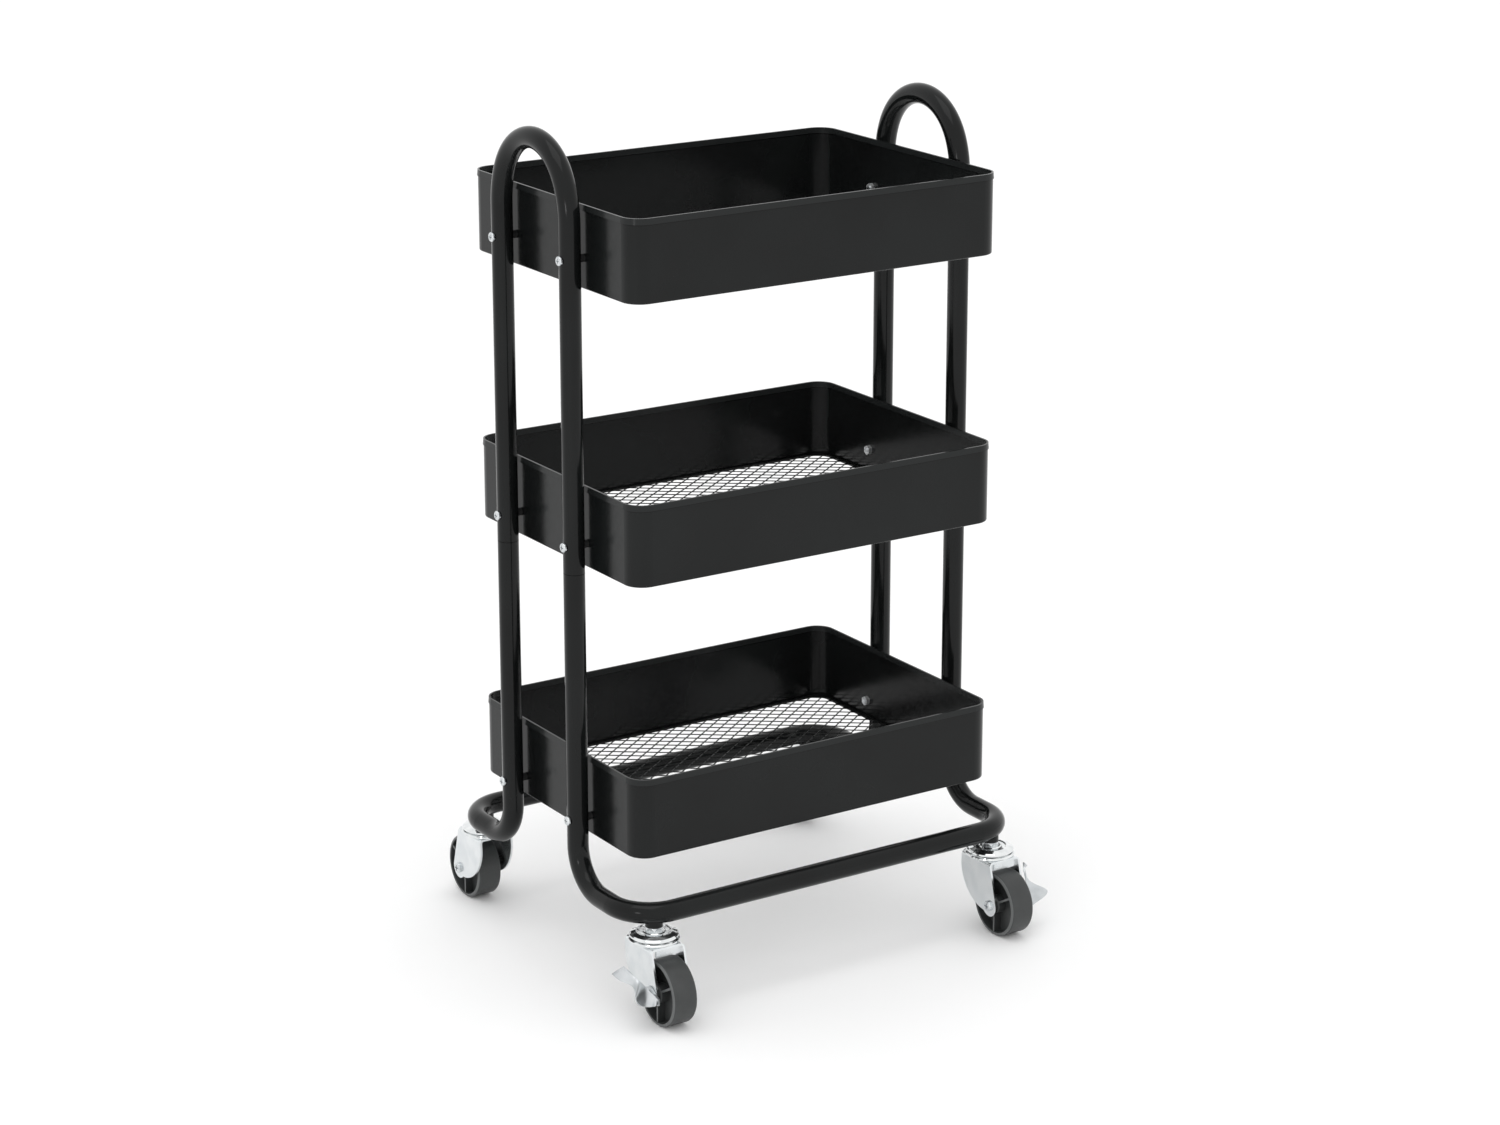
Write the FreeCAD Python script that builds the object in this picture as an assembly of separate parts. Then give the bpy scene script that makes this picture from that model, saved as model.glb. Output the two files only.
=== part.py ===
import FreeCAD, Part
import math
import os
from FreeCAD import Vector

# Three-tier rolling basket cart, in millimetres.  +X runs along the baskets to the
# right-hand end, +Y to the back, +Z up.  The origin is on the floor under the middle.

# ---- baskets -------------------------------------------------------------------
BASKET_LENGTH = 390.0
BASKET_DEPTH = 284.0
BASKET_HEIGHT = 74.7
BASKET_CORNER = 19.0
RIM_Z = {"top": 721.5, "middle": 469.2, "bottom": 216.9}
SCREW_DROP = {"top": 47.0, "middle": 52.5, "bottom": 57.2}   # rim down to the screw axis
SHEET = 1.0
HEM_HEIGHT = 5.5
HEM_PROUD = 0.8                # how far the folded rim's lower edge stands out from the wall
HEM_PROUD_TOP = 0.3            # and its top edge, where the fold is tightest
HEM_INNER = 0.4                # how far the fold stands into the basket
FLOOR_FLANGE = 5.0             # width of the inturned bottom edge
BEND_FILLET = 1.6

# ---- diamond mesh floors ---------------------------------------------------------
MESH_CELL_X = 17.6
MESH_CELL_Y = 12.84
MESH_STRAND = 0.9
MESH_THICK = 0.8
MESH_SELVAGE = 3.6             # solid edge that is welded to the flange

# ---- tube frame ------------------------------------------------------------------
TUBE_R = 9.75
TUBE_WALL = 1.2
POST_X = 207.8
POST_Y = 59.5
ARCH_SPRING_Z = 705.5
ARCH_RISE = 66.3
ARCH_SHOULDER_R = 79.0
SEAM_Z = 392.0
SEAM_GAP = 0.3
SLEEVE_LENGTH = 36.0
SLEEVE_WALL = 1.2
BAR_Y = 158.5
BAR_Z = 96.8
BEND_R = 38.7

# ---- basket fixings --------------------------------------------------------------
SCREW_R = 2.4
SCREW_HOLE_R = 2.6
SCREW_HEAD_R = 4.4
SCREW_HEAD_H = 2.6
NUT_FLATS = 8.0
NUT_H = 3.8
SPACER_R = 3.6

# ---- casters ---------------------------------------------------------------------
STEM_BEND_ANGLE = 26.0         # where on the base corner the stem is fixed, from the bar
STEM_R = 4.0
STEM_TOP_Z = 94.0
SOCKET_R = 8.0
COLLAR_FLATS = 15.0
COLLAR_H = 4.0
RIVET_R = 7.0
RIVET_H = 1.8
TOP_RACE_R = 22.3
TOP_RACE_H = 4.6
LOWER_RACE_R = 23.2
LOWER_RACE_H = 3.0
RACE_GAP = 0.4
RACE_TRACK_R = 12.5            # inner edge of the ball track
GROOVE_R = 12.3                # shallow ring groove in the upper race
GROOVE_DEPTH = 0.7
CROWN_Z = 72.5                 # top of the fork's crown
PLATE = 2.0                    # fork sheet
FORK_INNER = 31.0              # clear width between the fork's side plates
FORK_BEND_R = 4.0
FORK_NOSE_R = 10.5             # round foot of each side plate about the axle
CROWN_FRONT = 22.5             # crown's edge on the trailing side, from the stem
APRON_H = 8.5                  # lip folded down at the front of the crown
TRAIL = 23.1
WHEEL_R = 30.4
WHEEL_WIDTH = 24.5
HUB_WIDTH = 28.4
HUB_R = 8.5
RIM_THICK = 3.8
WEB_DEPTH = 8.5
SPOKE = 2.0
SPOKE_COUNT = 3
SPOKE_SET_IN = 0.8             # spoke edges below the wheel's side faces
BUSH_R = 4.5
AXLE_R = 3.0
RUNNING_CLEARANCE = 0.05
SIDE_CLEARANCE = 0.3
AXLE_HEAD_R = 5.0
AXLE_HEAD_H = 3.0
AXLE_NUT_FLATS = 10.0
AXLE_NUT_H = 4.5
LEVER = 1.6                    # brake lever sheet
LEVER_PIVOT_R = 8.4

X = Vector(1, 0, 0)
Y = Vector(0, 1, 0)
Z = Vector(0, 0, 1)


def save(name, *solids):
    """Write one node; several solids in a node stay separate solids."""
    shape = solids[0] if len(solids) == 1 else Part.makeCompound(list(solids))
    shape.exportStep("parts/" + name + ".step")


def rounded_rectangle(length, depth, radius, z):
    """Face in a level plane, centred on the Z axis, with arcs for corners."""
    edges = []
    a, b = length / 2, depth / 2
    for turn in range(4):
        angle = math.radians(90 * turn)
        half_x, half_y = (a, b) if turn % 2 == 0 else (b, a)
        start = Vector(half_x, -half_y + radius, z)
        end = Vector(half_x, half_y - radius, z)
        corner = Vector(half_x - radius, half_y - radius, z)
        middle = corner + Vector(math.cos(math.pi / 4), math.sin(math.pi / 4), 0) * radius
        after = Vector(half_x - radius, half_y, z)
        spin = FreeCAD.Rotation(Z, math.degrees(angle))
        start, end, middle, after = [spin.multVec(p) for p in (start, end, middle, after)]
        edges.append(Part.LineSegment(start, end).toShape())
        edges.append(Part.Arc(end, middle, after).toShape())
    return Part.Face(Part.Wire(edges))


def hexagon(centre, axis, flats, height):
    """Hexagonal prism standing on centre and pointing along axis."""
    corner = flats / math.sqrt(3)
    spin = FreeCAD.Rotation(Z, axis)
    points = []
    for k in range(7):
        angle = math.radians(60 * k)
        points.append(centre + spin.multVec(Vector(math.cos(angle), math.sin(angle), 0) * corner))
    return Part.Face(Part.makePolygon(points)).extrude(axis * height)


def cross_recess(centre, axis, span, width, depth):
    """Cutter for a cross-shaped driver slot sunk into a head against axis."""
    spin = FreeCAD.Rotation(Z, axis)
    arms = []
    for a, b in ((span, width), (width, span)):
        arm = Part.makeBox(a, b, depth + 0.5, Vector(-a / 2, -b / 2, -depth))
        arm.Placement = FreeCAD.Placement(centre, spin)
        arms.append(arm)
    return arms[0].fuse(arms[1])


def pan_head(centre, axis, radius, height):
    """Low domed screw head sitting on centre, pointing along axis."""
    head = Part.makeCylinder(radius, height, centre, axis)
    top = max(head.Edges, key=lambda edge: edge.CenterOfMass.sub(centre).dot(axis))
    return head.makeFillet(height * 0.6, [top])


# ---- tube frame ------------------------------------------------------------------
def pipe(edges, start, direction):
    """Hollow tube swept along joined edges."""
    path = Part.Wire(edges)
    solids = []
    for radius in (TUBE_R, TUBE_R - TUBE_WALL):
        circle = Part.Wire(Part.Circle(start, direction, radius).toShape())
        solids.append(path.makePipeShell([circle], True, True))
    return solids[0].cut(solids[1])


def arch_edges(x):
    """Three-centre arch from the front leg's springing to the back leg's."""
    overhang = ARCH_SHOULDER_R - POST_Y
    drop = ARCH_SHOULDER_R - ARCH_RISE
    reach = (overhang ** 2 + drop ** 2) / (2 * drop)
    crown_r = ARCH_SHOULDER_R - reach
    angle = math.acos(overhang / reach)
    crown_z = ARCH_SPRING_Z + reach * math.sin(angle)

    def shoulder(side, t):
        y = -overhang + ARCH_SHOULDER_R * math.cos(t)
        return Vector(x, side * y, ARCH_SPRING_Z + ARCH_SHOULDER_R * math.sin(t))

    crown = Vector(x, 0, crown_z + crown_r)
    front = Part.Arc(shoulder(-1, 0), shoulder(-1, angle / 2), shoulder(-1, angle))
    middle = Part.Arc(shoulder(-1, angle), crown, shoulder(1, angle))
    back = Part.Arc(shoulder(1, angle), shoulder(1, angle / 2), shoulder(1, 0))
    return [front.toShape(), middle.toShape(), back.toShape()]


def handle_frame(x):
    """Inverted U: the arched handle and its two legs down to the seam."""
    foot = SEAM_Z + SEAM_GAP / 2
    front_foot = Vector(x, -POST_Y, foot)
    back_foot = Vector(x, POST_Y, foot)
    arch = arch_edges(x)
    up = Part.LineSegment(front_foot, Vector(x, -POST_Y, ARCH_SPRING_Z)).toShape()
    down = Part.LineSegment(Vector(x, POST_Y, ARCH_SPRING_Z), back_foot).toShape()
    return pipe([up] + arch + [down], front_foot, Z)


def quarter(centre, toward_start, toward_end):
    """Quarter bend about centre, between two directions at right angles."""
    middle = (toward_start + toward_end) * (BEND_R / math.sqrt(2))
    return Part.Arc(centre + toward_start * BEND_R, centre + middle, centre + toward_end * BEND_R).toShape()


def base_frame(side):
    """Lower frame: leg, bend outwards, bend along the bar, and the same mirrored."""
    out = Y * side
    edges = []
    for end in (-1, 1):
        sideways = X * end
        top = Vector(end * POST_X, side * POST_Y, SEAM_Z - SEAM_GAP / 2)
        low = Vector(end * POST_X, side * POST_Y, BAR_Z + BEND_R)
        heel = Vector(end * POST_X, side * (POST_Y + BEND_R), BAR_Z + BEND_R)
        run_in = Vector(end * POST_X, side * (POST_Y + BEND_R), BAR_Z)
        run_out = Vector(end * POST_X, side * (BAR_Y - BEND_R), BAR_Z)
        corner = Vector(end * (POST_X - BEND_R), side * (BAR_Y - BEND_R), BAR_Z)
        half = [
            Part.LineSegment(top, low).toShape(),
            quarter(heel, out * -1, Z * -1),
            Part.LineSegment(run_in, run_out).toShape(),
            quarter(corner, sideways, out),
        ]
        edges += half if end < 0 else half[::-1]
        if end < 0:
            left_bar = Vector(-(POST_X - BEND_R), side * BAR_Y, BAR_Z)
            right_bar = Vector(POST_X - BEND_R, side * BAR_Y, BAR_Z)
            edges.append(Part.LineSegment(left_bar, right_bar).toShape())
    start = Vector(-POST_X, side * POST_Y, SEAM_Z - SEAM_GAP / 2)
    return pipe(edges, start, Z)


def joint_sleeves():
    """Short inner tubes that line up the upper and lower frames at the seam."""
    sleeves = []
    outer = TUBE_R - TUBE_WALL - RUNNING_CLEARANCE
    for x in (-POST_X, POST_X):
        for y in (-POST_Y, POST_Y):
            foot = Vector(x, y, SEAM_Z - SLEEVE_LENGTH / 2)
            sleeve = Part.makeCylinder(outer, SLEEVE_LENGTH, foot)
            sleeves.append(sleeve.cut(Part.makeCylinder(outer - SLEEVE_WALL, SLEEVE_LENGTH, foot)))
    return sleeves


# ---- baskets -------------------------------------------------------------------
def basket(rim_z):
    """Bent sheet tray: wall, folded rim and a narrow inturned bottom edge."""
    length = BASKET_LENGTH - 2 * HEM_PROUD
    depth = BASKET_DEPTH - 2 * HEM_PROUD
    corner = BASKET_CORNER - HEM_PROUD
    bottom_z = rim_z - BASKET_HEIGHT
    block = rounded_rectangle(length, depth, corner, bottom_z).extrude(Z * BASKET_HEIGHT)
    bottom_edges = [e for e in block.Edges if e.BoundBox.ZMax < bottom_z + 0.01]
    block = block.makeFillet(BEND_FILLET, bottom_edges)
    hollow = rounded_rectangle(length - 2 * SHEET, depth - 2 * SHEET, corner - SHEET, bottom_z + SHEET)
    inside = FLOOR_FLANGE * 2
    mouth = rounded_rectangle(length - inside, depth - inside, corner - FLOOR_FLANGE, bottom_z - SHEET)
    tuck = 2 * (HEM_PROUD - HEM_PROUD_TOP)
    low = rounded_rectangle(BASKET_LENGTH, BASKET_DEPTH, BASKET_CORNER, rim_z - HEM_HEIGHT)
    high = rounded_rectangle(BASKET_LENGTH - tuck, BASKET_DEPTH - tuck, BASKET_CORNER - tuck / 2, rim_z)
    hem = Part.makeLoft([low.OuterWire, high.OuterWire], True, True)
    fold = SHEET + HEM_INNER
    throat = rounded_rectangle(length - 2 * fold, depth - 2 * fold, corner - fold, rim_z - HEM_HEIGHT)
    hem = hem.cut(throat.extrude(Z * HEM_HEIGHT))
    tray = block.cut(hollow.extrude(Z * BASKET_HEIGHT)).cut(mouth.extrude(Z * 3 * SHEET))
    return tray.fuse(hem).removeSplitter()


def clip(polygon, half_x, half_y):
    """Part of a convex polygon inside a rectangle centred on the origin."""
    for axis, side, limit in ((0, 1, half_x), (0, -1, half_x), (1, 1, half_y), (1, -1, half_y)):
        kept = []
        for a, b in zip(polygon, polygon[1:] + polygon[:1]):
            inside_a = side * a[axis] <= limit
            inside_b = side * b[axis] <= limit
            if inside_a:
                kept.append(a)
            if inside_a != inside_b:
                t = (side * limit - a[axis]) / (b[axis] - a[axis])
                kept.append((a[0] + t * (b[0] - a[0]), a[1] + t * (b[1] - a[1])))
        polygon = kept
        if not polygon:
            return polygon
    return polygon


def polygon_area(polygon):
    pairs = zip(polygon, polygon[1:] + polygon[:1])
    return abs(sum(a[0] * b[1] - a[1] * b[0] for a, b in pairs)) / 2


def mesh_floor(rim_z):
    """Flat sheet opened into diamonds, with a solid selvage on the basket's flange."""
    z = rim_z - BASKET_HEIGHT + SHEET
    gap = 2 * (HEM_PROUD + SHEET + SIDE_CLEARANCE)
    length, depth = BASKET_LENGTH - gap, BASKET_DEPTH - gap
    corner = BASKET_CORNER - gap / 2
    half_x, half_y = length / 2 - MESH_SELVAGE, depth / 2 - MESH_SELVAGE
    slope = math.atan2(MESH_CELL_Y, MESH_CELL_X)
    hole_x = MESH_CELL_X / 2 - MESH_STRAND / 2 / math.sin(slope)
    hole_y = MESH_CELL_Y / 2 - MESH_STRAND / 2 / math.cos(slope)
    smallest = hole_x * hole_y / 4
    sheet = rounded_rectangle(length, depth, corner, z)
    wires = [sheet.OuterWire]
    columns = int(length / MESH_CELL_X) + 1
    rows = int(depth / MESH_CELL_Y) + 1
    for column in range(-columns, columns + 1):
        for row in range(-rows, rows + 1):
            if (column + row) % 2:
                continue
            cx, cy = column * MESH_CELL_X / 2, row * MESH_CELL_Y / 2
            diamond = [(cx + hole_x, cy), (cx, cy + hole_y), (cx - hole_x, cy), (cx, cy - hole_y)]
            diamond = clip(diamond, half_x, half_y)
            if len(diamond) < 3 or polygon_area(diamond) < smallest:
                continue
            if any(abs(px) > half_x - corner / 3 and abs(py) > half_y - corner / 3 for px, py in diamond):
                continue
            points = [Vector(px, py, z) for px, py in diamond]
            wires.append(Part.makePolygon(points + points[:1]))
    return Part.Face(wires).extrude(Z * MESH_THICK)


# ---- basket fixings --------------------------------------------------------------
def fixing_points():
    """Axis height, leg side and cart end of every basket screw."""
    for tier, rim_z in RIM_Z.items():
        for end in (-1, 1):
            for side in (-1, 1):
                yield end, side * POST_Y, rim_z - SCREW_DROP[tier]


def screw_holes(radius):
    """Cutters right through legs and basket ends on every screw axis."""
    holes = []
    for end, y, z in fixing_points():
        start = Vector(end * (BASKET_LENGTH / 2 - 4 * SHEET), y, z)
        holes.append(Part.makeCylinder(radius, 60, start, X * end))
    return Part.makeCompound(holes)


def basket_screw(end, y, z):
    """Pan-head screw from outside the leg to the nut inside the basket."""
    outward = X * end
    seat = Vector(end * (POST_X + TUBE_R), y, z)
    inner_wall = BASKET_LENGTH / 2 - HEM_PROUD - SHEET
    tip = Vector(end * (inner_wall - NUT_H - 1.0), y, z)
    shank = Part.makeCylinder(SCREW_R, seat.sub(tip).Length, tip, outward)
    head = pan_head(seat, outward, SCREW_HEAD_R, SCREW_HEAD_H)
    slot = cross_recess(seat + outward * SCREW_HEAD_H, outward, 4.6, 0.9, 1.3)
    return shank.fuse(head).cut(slot)


def basket_nut(end, y, z):
    """Hexagon nut against the inside of the basket's end wall."""
    inner_wall = BASKET_LENGTH / 2 - HEM_PROUD - SHEET
    seat = Vector(end * inner_wall, y, z)
    nut = hexagon(seat, X * -end, NUT_FLATS, NUT_H)
    return nut.cut(Part.makeCylinder(SCREW_R + RUNNING_CLEARANCE, NUT_H, seat, X * -end))


def basket_spacer(end, y, z):
    """Ring with one saddle face that keeps the basket off the leg."""
    outer_wall = BASKET_LENGTH / 2 - HEM_PROUD
    seat = Vector(end * outer_wall, y, z)
    ring = Part.makeCylinder(SPACER_R, POST_X - outer_wall, seat, X * end)
    leg = Part.makeCylinder(TUBE_R, 4 * SPACER_R, Vector(end * POST_X, y, z - 2 * SPACER_R))
    hole = Part.makeCylinder(SCREW_HOLE_R, POST_X - outer_wall, seat, X * end)
    return ring.cut(leg).cut(hole)


# ---- casters ---------------------------------------------------------------------
def stem_xy(end, side):
    """Stem axis, on the centre line of the base frame's corner bend."""
    angle = math.radians(STEM_BEND_ANGLE)
    x = POST_X - BEND_R + BEND_R * math.sin(angle)
    y = BAR_Y - BEND_R + BEND_R * math.cos(angle)
    return end * x, side * y


def turned(profile, x, y):
    """Solid of revolution about the upright line at x, y from (radius, z) pairs."""
    points = [Vector(x + r, y, z) for r, z in profile]
    face = Part.Face(Part.makePolygon(points + points[:1]))
    return face.revolve(Vector(x, y, 0), Z, 360)


TOP_RACE_Z = CROWN_Z + LOWER_RACE_H + RACE_GAP
COLLAR_Z = TOP_RACE_Z + TOP_RACE_H


def caster_socket(x, y, tube):
    """Threaded boss welded under the base frame, saddled to the tube."""
    foot = COLLAR_Z + COLLAR_H
    boss = Part.makeCylinder(SOCKET_R, BAR_Z - foot, Vector(x, y, foot))
    return boss.cut(tube).cut(Part.makeCylinder(STEM_R + RUNNING_CLEARANCE, 30, Vector(x, y, foot)))


def caster_stem(x, y):
    """Stem with a hexagon collar above the races and a rivet head under the crown."""
    rivet_top = CROWN_Z - PLATE - SIDE_CLEARANCE
    shank = Part.makeCylinder(STEM_R, STEM_TOP_Z - rivet_top, Vector(x, y, rivet_top))
    collar = hexagon(Vector(x, y, COLLAR_Z), Z, COLLAR_FLATS, COLLAR_H)
    corner_r = COLLAR_FLATS / math.sqrt(3)
    top = COLLAR_Z + COLLAR_H
    under = [(0, COLLAR_Z), (corner_r - 0.5, COLLAR_Z), (corner_r, COLLAR_Z + 1)]
    chamfer = under + [(COLLAR_FLATS / 2, top), (0, top)]
    collar = collar.common(turned(chamfer, x, y))
    rivet = Part.makeCylinder(RIVET_R, RIVET_H, Vector(x, y, rivet_top - RIVET_H))
    return shank.fuse([collar, rivet]).removeSplitter()


def top_race(x, y):
    """Dished upper race: raised middle, ring groove, sloping flank and a turned-down edge."""
    z, r = TOP_RACE_Z, TOP_RACE_R
    top = z + TOP_RACE_H
    bore = STEM_R + RUNNING_CLEARANCE
    underside = [(bore, z + 2.2), (RACE_TRACK_R, z + 2.2), (r - 2.2, z)]
    edge = [(r - 0.5, z), (r, z + 0.7), (r - 0.3, z + 1.9), (r - 1.6, z + 2.9)]
    groove = [(GROOVE_R + 4.2, top), (GROOVE_R + 2.9, top), (GROOVE_R + 1.9, top - GROOVE_DEPTH),
              (GROOVE_R - 1.8, top - GROOVE_DEPTH), (GROOVE_R - 2.8, top)]
    return turned(underside + edge + groove + [(bore, top)], x, y)


def lower_race(x, y):
    """Raised ring on the crown that carries the ball race."""
    z, r = CROWN_Z, LOWER_RACE_R
    edge = [(r - 0.4, z), (r, z + 0.5), (r - 0.3, z + 1.5), (r - 1.4, z + 2.2)]
    track = [(r - 3.6, z + LOWER_RACE_H - 0.8), (RACE_TRACK_R, z + LOWER_RACE_H - 0.4)]
    return turned([(RACE_TRACK_R, z)] + edge + track, x, y)


def side_outline():
    """Fork side seen along the axle: u is the trail direction, then height."""
    axle_u, axle_z, nose = TRAIL, WHEEL_R, FORK_NOSE_R
    front_lean, back_lean = math.radians(8), math.radians(42)
    front_low = (axle_u + nose * math.cos(front_lean), axle_z + nose * math.sin(front_lean))
    back_low = (axle_u - nose * math.cos(back_lean), axle_z - nose * math.sin(back_lean))
    points = {
        "rear_top": (-20.5, CROWN_Z),
        "rear_bend": (-21.3, CROWN_Z - 12.5),
        "rear_mid": (-14.5, 40.5),
        "back_low": back_low,
        "bottom": (axle_u, axle_z - nose),
        "front_low": front_low,
        "front_top": (CROWN_FRONT, CROWN_Z),
    }
    p = {name: Vector(0, u, z) for name, (u, z) in points.items()}
    edges = [
        Part.LineSegment(p["rear_top"], p["rear_bend"]),
        Part.Arc(p["rear_bend"], p["rear_mid"], p["back_low"]),
        Part.Arc(p["back_low"], p["bottom"], p["front_low"]),
        Part.LineSegment(p["front_low"], p["front_top"]),
        Part.LineSegment(p["front_top"], p["rear_top"]),
    ]
    return Part.Face(Part.Wire([edge.toShape() for edge in edges]))


def fork_blank():
    """Bent sheet fork about a stem at the origin, trailing towards +Y."""
    half = FORK_INNER / 2 + PLATE
    low = WHEEL_R - FORK_NOSE_R - 5
    reach = 40                 # beyond the fork's outline on every side

    def channel(side, top, radius):
        a, b = Vector(-side, -reach, low), Vector(-side, -reach, top - radius)
        c, d = Vector(-side + radius, -reach, top), Vector(side - radius, -reach, top)
        e, f = Vector(side, -reach, top - radius), Vector(side, -reach, low)
        turn = radius * (1 - math.cos(math.pi / 4))
        left = Vector(-side + turn, -reach, top - turn)
        right = Vector(side - turn, -reach, top - turn)
        parts = [Part.LineSegment(a, b), Part.Arc(b, left, c), Part.LineSegment(c, d), Part.Arc(d, right, e),
                 Part.LineSegment(e, f), Part.LineSegment(f, a)]
        return Part.Face(Part.Wire([part.toShape() for part in parts])).extrude(Y * 2.5 * reach)

    inside = channel(half - PLATE, CROWN_Z - PLATE, FORK_BEND_R - PLATE)
    bent = channel(half, CROWN_Z, FORK_BEND_R).cut(inside)
    side = side_outline()
    side.translate(X * -reach)
    fork = bent.common(side.extrude(X * 2 * reach))
    apron_side = FORK_INNER / 2 - FORK_BEND_R
    apron_corner = Vector(-apron_side, CROWN_FRONT - PLATE, CROWN_Z - APRON_H)
    apron = Part.makeBox(2 * apron_side, PLATE, APRON_H, apron_corner)
    stem_hole = Part.makeCylinder(STEM_R + RUNNING_CLEARANCE, 4 * PLATE, Vector(0, 0, CROWN_Z - 2 * PLATE))
    axle_hole = Part.makeCylinder(AXLE_R + RUNNING_CLEARANCE, 2 * reach, Vector(-reach, TRAIL, WHEEL_R), X)
    return fork.fuse(apron).removeSplitter().cut(stem_hole).cut(axle_hole)


def wheel_blank():
    """Moulded wheel on an axle along X through the origin."""
    half = WHEEL_WIDTH / 2
    inner = WHEEL_R - RIM_THICK
    web = half - WEB_DEPTH
    bite = 0.5                 # spokes run this far into hub and rim
    hub = HUB_WIDTH / 2
    hub_edge = [(BUSH_R, -hub), (HUB_R - 0.6, -hub), (HUB_R, 0.6 - hub), (HUB_R, -web)]
    rim_edge = [(inner, -web), (inner + 0.8, -half), (WHEEL_R - 2.0, -half), (WHEEL_R - 0.6, 0.6 - half)]
    profile = hub_edge + rim_edge + [(WHEEL_R, 2.0 - half)]
    mirrored = [(r, -x) for r, x in reversed(profile)]
    points = [Vector(x, r, 0) for r, x in profile + mirrored]
    body = Part.Face(Part.makePolygon(points + points[:1])).revolve(Vector(0, 0, 0), X, 360)
    spokes = []
    for k in range(SPOKE_COUNT):
        corner = Vector(SPOKE_SET_IN - half, -SPOKE / 2, HUB_R - bite)
        spoke = Part.makeBox(2 * (half - SPOKE_SET_IN), SPOKE, inner - HUB_R + 2 * bite, corner)
        spoke.rotate(Vector(0, 0, 0), X, 180 + 360 / SPOKE_COUNT * k)
        spokes.append(spoke)
    return body.fuse(spokes).removeSplitter()


def wheel_bush():
    """Steel tube pressed in the hub, which turns on the axle bolt."""
    length = HUB_WIDTH + 1.2
    start = Vector(-length / 2, 0, 0)
    bush = Part.makeCylinder(BUSH_R, length, start, X)
    return bush.cut(Part.makeCylinder(AXLE_R + RUNNING_CLEARANCE, length, start, X))


def axle_bolt(head_side, braked):
    """Cross-slotted bolt, head on one side plate and thread through the other."""
    face = FORK_INNER / 2 + PLATE
    lever_room = LEVER + 2 * SIDE_CLEARANCE if braked else 0
    outward = X * head_side
    seat = outward * face
    far = outward * -(face + lever_room + AXLE_NUT_H + 0.8)
    shank = Part.makeCylinder(AXLE_R, seat.sub(far).Length, far, outward)
    head = pan_head(seat, outward, AXLE_HEAD_R, AXLE_HEAD_H)
    slot = cross_recess(seat + outward * AXLE_HEAD_H, outward, 5.6, 1.1, 1.6)
    return shank.fuse(head).cut(slot)


def axle_nut(head_side, braked):
    """Nut on the far side plate, or outside the brake lever."""
    face = FORK_INNER / 2 + PLATE
    lever_room = LEVER + 2 * SIDE_CLEARANCE if braked else 0
    seat = X * -head_side * (face + lever_room)
    nut = hexagon(seat, X * -head_side, AXLE_NUT_FLATS, AXLE_NUT_H)
    return nut.cut(Part.makeCylinder(AXLE_R, AXLE_NUT_H, seat, X * -head_side))


def lever_blade(outward):
    """Twisted pedal: sections of sheet from the front root to the tip of the rear lobe.

    A section runs from the straight upper edge to the lobed lower edge.  Its points are
    (out, back, up) from the point where the axle leaves the lever's inner face.
    """
    front_root = Vector(0.8, -13.5, 1.0)
    rear_corner = Vector(17.9, 17.0, 26.0)
    lower_edge = [
        (0.00, Vector(1.2, -14.2, -3.0)),
        (0.12, Vector(7.0, -13.0, -4.5)),
        (0.26, Vector(15.5, -11.5, -2.5)),
        (0.42, Vector(23.5, -13.5, 5.5)),
        (0.58, Vector(17.9, -1.5, 9.5)),
        (0.74, Vector(17.0, 10.5, 11.0)),
        (0.88, Vector(21.9, 19.0, 13.2)),
        (1.00, Vector(26.5, 23.0, 18.5)),
    ]
    run = rear_corner - front_root
    along = Vector(run).normalize()
    sections = []
    for share, low in lower_edge:
        high = front_root + run * share
        half = along.cross(low - high).normalize() * (LEVER / 2)
        corners = [high - half, high + half, low + half, low - half]
        corners = [Vector(p.x * outward, p.y, p.z) for p in corners]
        sections.append(Part.makePolygon(corners + corners[:1]))
    return Part.makeLoft(sections, True, False)


def brake_lever(outward):
    """Brake lever on the axle: a pivot plate with a pair of foot lobes folded out of it."""
    inner_face = FORK_INNER / 2 + PLATE + SIDE_CLEARANCE
    pivot = Part.makeCylinder(LEVER_PIVOT_R, LEVER, Vector(0, 0, 0), X * outward)
    arm = [Vector(0, y, z) for y, z in ((-15.0, -4.4), (-14.6, 1.8), (-2.0, 8.2), (4.0, -7.3))]
    plate = Part.Face(Part.makePolygon(arm + arm[:1])).extrude(X * outward * LEVER)
    solid = lever_blade(outward).fuse([pivot, plate]).removeSplitter()
    solid = solid.cut(Part.makeCylinder(AXLE_R + RUNNING_CLEARANCE, 60, Vector(-30, 0, 0), X))
    solid.translate(X * outward * inner_face)
    return solid


# ---- build everything ------------------------------------------------------------
os.makedirs("parts", exist_ok=True)

bores = screw_holes(SCREW_HOLE_R)
save("left_handle_frame", handle_frame(-POST_X).cut(bores))
save("right_handle_frame", handle_frame(POST_X).cut(bores))

base_tubes = {}
for name, side in (("front", -1), ("rear", 1)):
    base_tubes[side] = base_frame(side)
    stem_holes = []
    for end in (-1, 1):
        x, y = stem_xy(end, side)
        stem_holes.append(Part.makeCylinder(STEM_R + 0.3, BAR_Z - 80, Vector(x, y, 80)))
    save(name + "_base_frame", base_tubes[side].cut(bores).cut(Part.makeCompound(stem_holes)))
save("joint_sleeves", *joint_sleeves())

for tier, rim_z in RIM_Z.items():
    save(tier + "_basket", basket(rim_z).cut(bores))
    save(tier + "_mesh_floor", mesh_floor(rim_z))

fixings = list(fixing_points())
save("basket_screws", *[basket_screw(*point) for point in fixings])
save("basket_nuts", *[basket_nut(*point) for point in fixings])
save("basket_spacers", *[basket_spacer(*point) for point in fixings])

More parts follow.
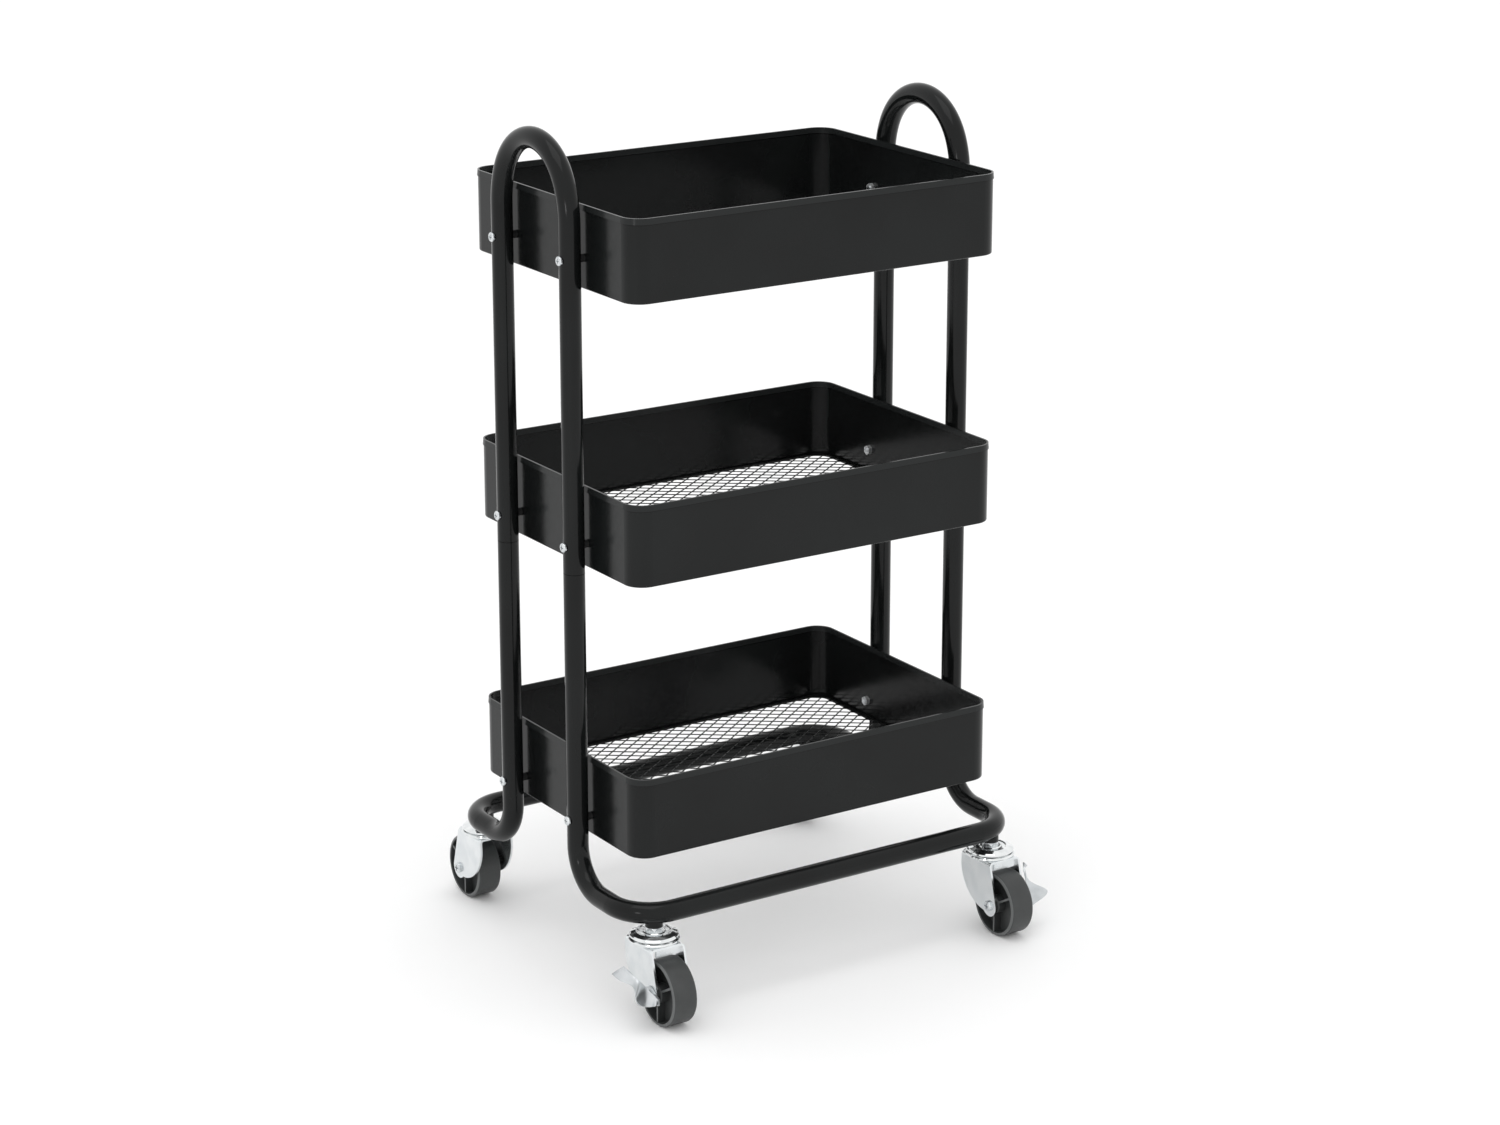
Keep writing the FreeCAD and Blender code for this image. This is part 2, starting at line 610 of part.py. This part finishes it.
blank_fork = fork_blank()
blank_wheel = wheel_blank()
blank_bush = wheel_bush()
for row, side in (("front", -1), ("rear", 1)):
    for column, end in (("left", -1), ("right", 1)):
        caster = row + "_" + column
        x, y = stem_xy(end, side)
        stem_foot = Vector(x, y, 0)
        axle = Vector(x, y + side * TRAIL, WHEEL_R)
        braked = side < 0
        head_side = -end if braked else end
        save(caster + "_socket", caster_socket(x, y, base_tubes[side]))
        save(caster + "_stem", caster_stem(x, y))
        save(caster + "_top_race", top_race(x, y))
        save(caster + "_lower_race", lower_race(x, y))
        fork = blank_fork.copy()
        if side < 0:
            fork.rotate(Vector(0, 0, 0), Z, 180)
        fork.translate(stem_foot)
        save(caster + "_fork", fork)
        pieces = {"_wheel": blank_wheel, "_bush": blank_bush}
        pieces["_axle_bolt"] = axle_bolt(head_side, braked)
        pieces["_axle_nut"] = axle_nut(head_side, braked)
        if braked:
            pieces["_brake_lever"] = brake_lever(end)
        for piece, shape in pieces.items():
            placed = shape.copy()
            placed.translate(axle)
            save(caster + piece, placed)
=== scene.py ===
import math

import bpy
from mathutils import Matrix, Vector


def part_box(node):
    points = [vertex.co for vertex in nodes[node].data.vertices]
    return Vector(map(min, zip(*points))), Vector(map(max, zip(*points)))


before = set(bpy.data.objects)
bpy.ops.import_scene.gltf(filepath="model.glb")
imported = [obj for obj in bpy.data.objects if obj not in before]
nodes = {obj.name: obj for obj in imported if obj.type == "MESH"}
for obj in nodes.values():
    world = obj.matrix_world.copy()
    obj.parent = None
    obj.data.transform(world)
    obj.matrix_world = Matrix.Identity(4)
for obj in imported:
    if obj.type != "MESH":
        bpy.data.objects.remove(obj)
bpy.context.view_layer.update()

# ---- tube end frames and base frames ---------------------------------------------
# Two arched handles and two base frames, each bent from one length of 19 mm steel tube
# and powder coated black.  The upper legs slide over sleeves in the lower ones, so a
# fine seam runs round each leg under the middle basket.
MM = 0.001


def linear(hex_colour):
    """Linear RGBA from an sRGB hex string such as "#1b1c1c"."""
    channels = [int(hex_colour[i:i + 2], 16) / 255 for i in (1, 3, 5)]
    return [c / 12.92 if c <= 0.04045 else ((c + 0.055) / 1.055) ** 2.4 for c in channels] + [1.0]


def add(tree, kind, settings=None, inputs=None, links=None):
    """Adds a node: its settings, its socket values, and links into its sockets."""
    node = tree.nodes.new("ShaderNode" + kind)
    for name, value in (settings or {}).items():
        setattr(node, name, value)
    for socket, value in (inputs or {}).items():
        node.inputs[socket].default_value = value
    for socket, source in (links or {}).items():
        tree.links.new(source, node.inputs[socket])
    return node


def start_material(name, shader_values):
    """A material with one Principled shader; returns it, its tree, shader and coordinates."""
    material = bpy.data.materials.new(name)
    material.use_nodes = True
    tree = material.node_tree
    shader = tree.nodes["Principled BSDF"]
    for socket, value in shader_values.items():
        shader.inputs[socket].default_value = value
    where = add(tree, "TexCoord").outputs["Object"]
    return material, tree, shader, where


# Nearly all of a noise lies between these two values, which are stretched to the range
# that a finish needs.  The octaves are the finer noises laid over the first.
NOISE_LOW = 0.3
NOISE_HIGH = 0.7
FINE_OCTAVES = 2.0


def vary(tree, where, shader, socket, size, low, high):
    """Drives one shader socket between two values with noise of that size in metres."""
    noise = add(tree, "TexNoise", inputs={"Scale": 1 / size, "Detail": FINE_OCTAVES},
                links={"Vector": where})
    ends = {"From Min": NOISE_LOW, "From Max": NOISE_HIGH, "To Min": low, "To Max": high}
    spread = add(tree, "MapRange", inputs=ends, links={"Value": noise.outputs["Fac"]})
    tree.links.new(spread.outputs["Result"], shader.inputs[socket])


# Colour drifts over broader patches, with a plain stretch of each colour at both ends.
PATCH_OCTAVES = 3.0
DARK_END = 0.35
LIGHT_END = 0.65


def tint(tree, where, shader, size, dark, light):
    """Drifts the base colour between two hex colours over patches of that size in metres."""
    noise = add(tree, "TexNoise", inputs={"Scale": 1 / size, "Detail": PATCH_OCTAVES},
                links={"Vector": where})
    ramp = add(tree, "ValToRGB", links={"Fac": noise.outputs["Fac"]})
    first, last = ramp.color_ramp.elements
    first.position = DARK_END
    first.color = linear(dark)
    last.position = LIGHT_END
    last.color = linear(light)
    tree.links.new(ramp.outputs["Color"], shader.inputs["Base Color"])


def grain(tree, where, shader, size, height):
    """Bump of noise with that width and height in metres."""
    noise = add(tree, "TexNoise", inputs={"Scale": 1 / size, "Detail": FINE_OCTAVES},
                links={"Vector": where})
    bump = add(tree, "Bump", inputs={"Strength": 1.0, "Distance": height},
               links={"Height": noise.outputs["Fac"]})
    tree.links.new(bump.outputs["Normal"], shader.inputs["Normal"])


# Blender gives the compare and mix nodes several sockets of one name, so these are
# told apart by their number.
COMPARED, COMPARE_WITH, COMPARE_WITHIN = 0, 1, 2
MIX_SHARE, MIX_UNDER, MIX_OVER, MIXED = 0, 6, 7, 2


def band(tree, where, shader, axis, centre, half, colour):
    """Lays a hex colour over the slice of a piece within half metres of centre along an axis."""
    along = add(tree, "SeparateXYZ", links={"Vector": where}).outputs[axis]
    inside = add(tree, "Math", {"operation": "COMPARE"},
                 {COMPARE_WITH: centre, COMPARE_WITHIN: half}, {COMPARED: along})
    under = shader.inputs["Base Color"].links[0].from_socket
    over = add(tree, "Mix", {"data_type": "RGBA"}, {MIX_OVER: linear(colour)},
               {MIX_SHARE: inside.outputs[0], MIX_UNDER: under})
    tree.links.new(over.outputs[MIXED], shader.inputs["Base Color"])


CREASE_ANGLE = math.radians(50)
CREASE_SEGMENTS = 2


def dress(name, material, crease=None):
    """Gives a CAD node its material, and rounds its sharp edges by crease metres."""
    piece = nodes[name]
    piece.data.materials.clear()
    piece.data.materials.append(material)
    if crease:
        edge = piece.modifiers.new("edge", "BEVEL")
        edge.width = crease
        edge.segments = CREASE_SEGMENTS
        edge.limit_method = "ANGLE"
        edge.angle_limit = CREASE_ANGLE
        edge.harden_normals = True


# Polyester powder coat, sprayed dry and baked: semi-gloss black whose faint orange-peel
# ripple, about 2 mm wide, softens the reflections on the tubes.
COAT = {"IOR": 1.5, "Specular IOR Level": 0.21, "Roughness": 0.15}
COAT_RIPPLE = 2.2 * MM
tube_coat, tree, shader, where = start_material("powder_coat_on_tube", COAT)
tint(tree, where, shader, size=90 * MM, dark="#0d0e0e", light="#131515")
vary(tree, where, shader, "Roughness", size=4 * MM, low=0.11, high=0.16)
grain(tree, where, shader, size=COAT_RIPPLE, height=0.007 * MM)
# A painted shadow: a 1 mm black line where an upper leg butts against a lower one.
SEAM_SHADOW_HALF = 0.5 * MM
seam = (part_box("left_handle_frame")[0].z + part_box("front_base_frame")[1].z) / 2
band(tree, where, shader, "Z", seam, SEAM_SHADOW_HALF, "#020202")

for name in ("left_handle_frame", "right_handle_frame", "front_base_frame", "rear_base_frame"):
    dress(name, tube_coat)

# Sleeves inside the leg joints, cut from plain welded tube and left uncoated; only a
# hair line of them could show through the seam.
BARE_STEEL = {"Metallic": 1.0, "Roughness": 0.4}
sleeve_steel, tree, shader, where = start_material("drawn_steel_sleeve", BARE_STEEL)
tint(tree, where, shader, size=10 * MM, dark="#7d7f80", light="#93959a")
vary(tree, where, shader, "Roughness", size=2 * MM, low=0.32, high=0.45)
dress("joint_sleeves", sleeve_steel)

# ---- baskets -------------------------------------------------------------------
# Three trays of 1 mm sheet steel: a strip bent round four corners, its top edge folded
# over into a hem, its bottom edge turned in.  On these flat walls the ripple of the
# coat lies broader and gentler than on the tubes.
TIERS = ("top", "middle", "bottom")
SHEET_RIPPLE = 1.6 * COAT_RIPPLE
HEM_ROUND = 0.4 * MM
HEM_HEIGHT = 5.5 * MM
HEM_SHADOW_HALF = 0.4 * MM


def sheet_coat(tier):
    """Coat of one basket: a painted highlight on the folded hem, a painted shadow line under its
    edge.
    """
    material, tree, shader, where = start_material("powder_coat_on_sheet_" + tier, COAT)
    tint(tree, where, shader, size=120 * MM, dark="#0f1010", light="#141616")
    vary(tree, where, shader, "Roughness", size=6 * MM, low=0.15, high=0.21)
    grain(tree, where, shader, size=SHEET_RIPPLE, height=0.008 * MM)
    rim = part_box(tier + "_basket")[1].z
    hem_foot = rim - HEM_HEIGHT
    # Painted highlight: the folded hem is laid in a paler colour.
    band(tree, where, shader, "Z", rim - HEM_HEIGHT / 2, HEM_HEIGHT / 2, "#1e2020")
    # Painted shadow: a black line under the hem's lower edge.
    band(tree, where, shader, "Z", hem_foot - HEM_SHADOW_HALF, HEM_SHADOW_HALF, "#000000")
    return material


for tier in TIERS:
    dress(tier + "_basket", sheet_coat(tier), HEM_ROUND)

# ---- mesh floors -----------------------------------------------------------------
# Expanded steel: a slit sheet pulled open into 18 by 13 mm diamonds, flattened and
# welded to the baskets' turned-in edges.  The thin coat on the strands looks drier.
DRY_COAT = {**COAT, "Roughness": 0.42}
mesh_coat, tree, shader, where = start_material("powder_coat_on_expanded_mesh", DRY_COAT)
tint(tree, where, shader, size=50 * MM, dark="#0d0e0e", light="#151616")
vary(tree, where, shader, "Roughness", size=3 * MM, low=0.34, high=0.46)
grain(tree, where, shader, size=1.6 * MM, height=0.015 * MM)
for tier in TIERS:
    dress(tier + "_mesh_floor", mesh_coat)

# ---- basket fixings --------------------------------------------------------------
# Twelve pan-head machine screws with their nuts, barrel plated in bright zinc, and the
# moulded black rings that hold the baskets off the legs.
METAL = {"Metallic": 1.0}
bright_zinc, tree, shader, where = start_material("bright_zinc_barrel_plate", METAL)
tint(tree, where, shader, size=4 * MM, dark="#c4c8cb", light="#dde0e1")
vary(tree, where, shader, "Roughness", size=1.5 * MM, low=0.16, high=0.3)
grain(tree, where, shader, size=0.6 * MM, height=0.006 * MM)
dress("basket_screws", bright_zinc, 0.1 * MM)

# The nuts come from another batch with a duller plate, so they catch light more evenly.
dull_zinc, tree, shader, where = start_material("dull_zinc_barrel_plate", METAL)
tint(tree, where, shader, size=4 * MM, dark="#d8dadb", light="#eceded")
vary(tree, where, shader, "Roughness", size=1.5 * MM, low=0.4, high=0.55)
grain(tree, where, shader, size=0.6 * MM, height=0.006 * MM)
dress("basket_nuts", dull_zinc, 0.15 * MM)

# Nylon, injection moulded: satin black with a faint mould texture.
nylon, tree, shader, where = start_material("moulded_nylon_spacer", {"IOR": 1.53})
tint(tree, where, shader, size=6 * MM, dark="#111111", light="#191919")
vary(tree, where, shader, "Roughness", size=1 * MM, low=0.4, high=0.55)
grain(tree, where, shader, size=0.5 * MM, height=0.01 * MM)
dress("basket_spacers", nylon, 0.2 * MM)

# ---- casters -------------------------------------------------------------------
# Four swivel casters.  Each stem screws into a boss welded under a base corner and
# coated with the frame; its hexagon collar holds two races and the fork's crown.
CASTERS = [row + "_" + side for row in ("front", "rear") for side in ("left", "right")]

# Chrome plate over polished steel on the race cups: mirror bright, with the faint
# ripple of the pressed steel under it.
chrome, tree, shader, where = start_material("chrome_plated_race", METAL)
tint(tree, where, shader, size=10 * MM, dark="#d9dcdd", light="#e8eaea")
vary(tree, where, shader, "Roughness", size=4 * MM, low=0.05, high=0.12)
grain(tree, where, shader, size=3 * MM, height=0.01 * MM)

# Zinc plate on bent sheet: bright but soft, streaked a little along the rolling of the
# sheet, so it shows a pale grey sheen and nothing sharp in it.
STREAK_SQUEEZE = (1.0, 1.0, 0.15)
fork_zinc, tree, shader, where = start_material("zinc_plated_sheet", METAL)
tint(tree, where, shader, size=15 * MM, dark="#d9dddf", light="#e4e7e8")
streaks = add(tree, "Mapping", inputs={"Scale": STREAK_SQUEEZE}, links={"Vector": where})
vary(tree, streaks.outputs["Vector"], shader, "Roughness", size=1.5 * MM, low=0.17, high=0.24)
grain(tree, where, shader, size=6 * MM, height=0.006 * MM)

for caster in CASTERS:
    dress(caster + "_socket", tube_coat, 0.4 * MM)
    dress(caster + "_stem", bright_zinc, 0.2 * MM)
    dress(caster + "_top_race", chrome, 0.2 * MM)
    dress(caster + "_lower_race", chrome, 0.2 * MM)
    dress(caster + "_fork", fork_zinc, 0.3 * MM)
    dress(caster + "_axle_bolt", bright_zinc, 0.1 * MM)
    dress(caster + "_axle_nut", bright_zinc, 0.2 * MM)

# ---- wheels ----------------------------------------------------------------------
# Moulded in one piece from dark grey polypropylene, three spokes a side, with a steel
# bush pressed in the hub.  The tread is satin; the narrow side faces of the rim and the
# spoke edges carry a painted highlight, a paler slice of the colour.
HIGHLIGHT_FROM_MIDDLE = 12 * MM
HIGHLIGHT_HALF = 0.8 * MM


def wheel_plastic(caster):
    """Plastic of one wheel, with a painted highlight, a pale slice, at both side faces."""
    material, tree, shader, where = start_material("moulded_polypropylene_" + caster, {"IOR": 1.49})
    tint(tree, where, shader, size=20 * MM, dark="#313333", light="#383a3a")
    vary(tree, where, shader, "Roughness", size=2 * MM, low=0.4, high=0.5)
    grain(tree, where, shader, size=0.8 * MM, height=0.008 * MM)
    low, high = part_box(caster + "_wheel")
    middle = (low.x + high.x) / 2
    for side in (-1, 1):
        # Painted highlight on both side faces of the rim and the spoke edges.
        band(tree, where, shader, "X", middle + side * HIGHLIGHT_FROM_MIDDLE, HIGHLIGHT_HALF, "#5a5c5c")
    return material


for caster in CASTERS:
    dress(caster + "_wheel", wheel_plastic(caster), 0.4 * MM)
    dress(caster + "_bush", sleeve_steel)

# ---- brake levers ----------------------------------------------------------------
# Stamped steel on the two front axles, zinc plated like the forks but passivated to a
# greyer, flatter finish, with faint press marks.
lever_zinc, tree, shader, where = start_material("passivated_zinc_lever", METAL)
tint(tree, where, shader, size=12 * MM, dark="#bdc1c3", light="#cdd0d2")
vary(tree, where, shader, "Roughness", size=2 * MM, low=0.3, high=0.38)
grain(tree, where, shader, size=3 * MM, height=0.003 * MM)
for side in ("left", "right"):
    dress("front_" + side + "_brake_lever", lever_zinc, 0.3 * MM)

# ---- floor, light and camera -----------------------------------------------------
# A pale matt studio floor that reaches far past what the camera sees, in an evenly
# bright white room with one large softbox overhead and a small one to the left.
FLOOR_HALF = 40.0
floor_mesh = bpy.data.meshes.new("floor")
corners = [(-FLOOR_HALF, -FLOOR_HALF, 0), (FLOOR_HALF, -FLOOR_HALF, 0),
           (FLOOR_HALF, FLOOR_HALF, 0), (-FLOOR_HALF, FLOOR_HALF, 0)]
floor_mesh.from_pydata(corners, [], [(0, 1, 2, 3)])
floor = bpy.data.objects.new("floor", floor_mesh)
bpy.context.collection.objects.link(floor)
MATT_PAINT = {"Roughness": 0.9, "Specular IOR Level": 0.1}
floor_paint, tree, shader, where = start_material("pale_studio_floor", MATT_PAINT)
tint(tree, where, shader, size=500 * MM, dark="#fbfbfb", light="#fdfdfd")
floor_mesh.materials.append(floor_paint)

ROOM_BRIGHTNESS = 1.08
world = bpy.data.worlds.new("soft_white_room")
world.use_nodes = True
room = world.node_tree.nodes["Background"]
room.inputs["Color"].default_value = linear("#ffffff")
room.inputs["Strength"].default_value = ROOM_BRIGHTNESS
bpy.context.scene.world = world

LIGHT_TARGET = Vector((0, 0, 0.3))


def soft_light(name, place, size, power):
    """A square softbox at place, facing the cart; its side is in metres, its power in watts."""
    data = bpy.data.lights.new(name, "AREA")
    data.size = size
    data.energy = power
    lamp = bpy.data.objects.new(name, data)
    lamp.location = place
    lamp.rotation_euler = (Vector(place) - LIGHT_TARGET).to_track_quat("Z", "Y").to_euler()
    bpy.context.collection.objects.link(lamp)


soft_light("overhead", place=(-0.6, -0.4, 3.2), size=2.0, power=12)
soft_light("left_window", place=(-2.6, -1.7, 0.9), size=0.45, power=3.5)

# The camera stands about 3.3 m off, front left and a little above, with a long lens.
CAMERA_TARGET = Vector((0.0182, 0.0031, 0.4341))
CAMERA_DISTANCE = 3.2671
CAMERA_AZIMUTH = math.radians(-33.03)
CAMERA_ELEVATION = math.radians(15.82)
CAMERA_LENS = 84.46
CAMERA_SENSOR = 36.0
CAMERA_SHIFT = -0.06
camera_data = bpy.data.cameras.new("camera")
camera_data.lens = CAMERA_LENS
camera_data.sensor_width = CAMERA_SENSOR
camera_data.shift_y = CAMERA_SHIFT
camera = bpy.data.objects.new("camera", camera_data)
level = math.cos(CAMERA_ELEVATION)
back = Vector((math.sin(CAMERA_AZIMUTH) * level, -math.cos(CAMERA_AZIMUTH) * level,
               math.sin(CAMERA_ELEVATION)))
camera.location = CAMERA_TARGET + back * CAMERA_DISTANCE
camera.rotation_euler = back.to_track_quat("Z", "Y").to_euler()
bpy.context.collection.objects.link(camera)
bpy.context.scene.camera = camera
bpy.context.scene.view_settings.view_transform = "Standard"
